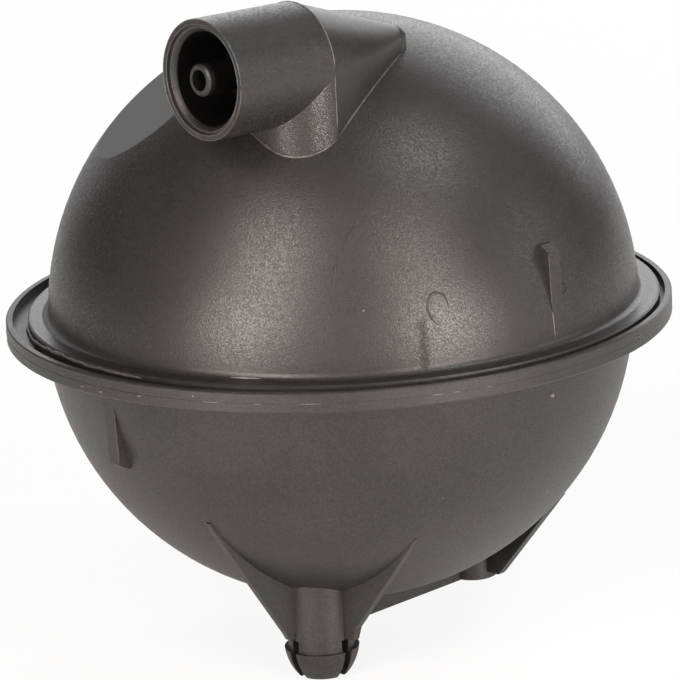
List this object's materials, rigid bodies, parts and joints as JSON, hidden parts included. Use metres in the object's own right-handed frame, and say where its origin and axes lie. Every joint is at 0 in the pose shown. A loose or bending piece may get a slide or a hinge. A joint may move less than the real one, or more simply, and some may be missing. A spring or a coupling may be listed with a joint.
{
  "type": "pressure reservoir",
  "caption": "Spherical plastic pressure reservoir in two welded halves, with a rimmed flange, a side-facing hose socket on top, and a snap peg with plain feet below.",
  "frame": {"origin": "centre of the lower half ball, on the axis of the flange and in the height of its rim", "axes": "+Z along the axis of the flange, up to the hose socket; the snap peg is towards -Y; the hose socket opens towards -X and -Y"},
  "size_m": [0.1242, 0.1242, 0.1285],
  "materials": {
    "black_plastic": "satin black with a fine moulded grain"
  },
  "bodies": {
    "root": {"upper_shell": "black_plastic", "lower_shell": "black_plastic"}
  },
  "joints": []
}
